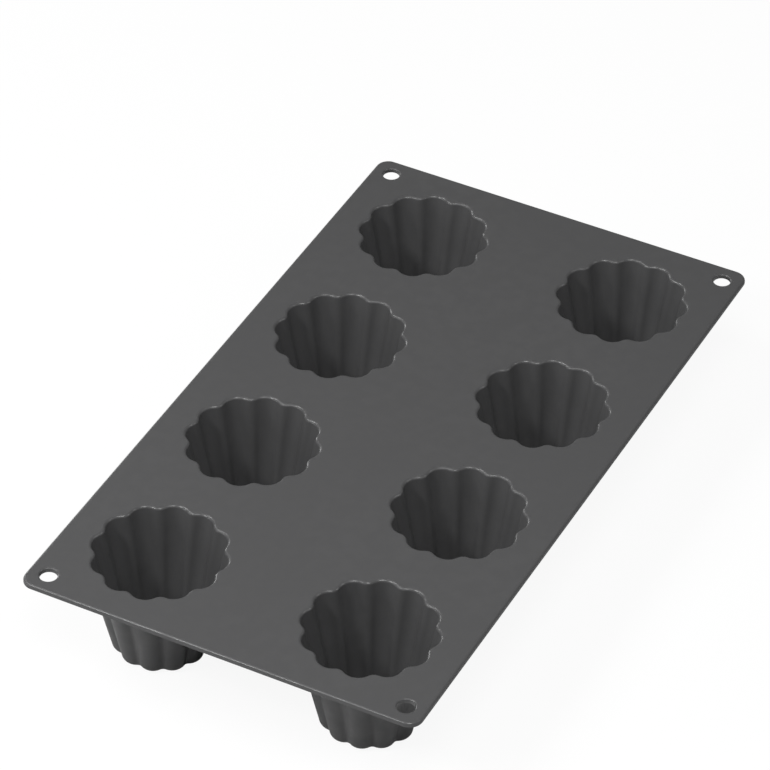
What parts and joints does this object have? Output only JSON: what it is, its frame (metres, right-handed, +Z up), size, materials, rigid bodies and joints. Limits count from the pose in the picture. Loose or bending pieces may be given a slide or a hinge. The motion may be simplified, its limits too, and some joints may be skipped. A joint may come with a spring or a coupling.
{
  "type": "silicone canele mould",
  "caption": "Flexible baking mould: a thin flat sheet with rounded corners and corner holes, with rows of deep fluted cups hanging from it.",
  "frame": {"origin": "centre of the footprint, on the plane that the cups' bases stand on", "axes": "+Z up, +Y along the sheet's length to the back, +X across the sheet to the right"},
  "size_m": [0.17, 0.3, 0.0465],
  "materials": {
    "silicone": "matte, faint satin"
  },
  "bodies": {
    "root": {"top_sheet": "silicone", "cup_left_1": "silicone", "cup_left_2": "silicone", "cup_left_3": "silicone", "cup_left_4": "silicone", "cup_right_1": "silicone", "cup_right_2": "silicone", "cup_right_3": "silicone", "cup_right_4": "silicone"}
  },
  "joints": []
}
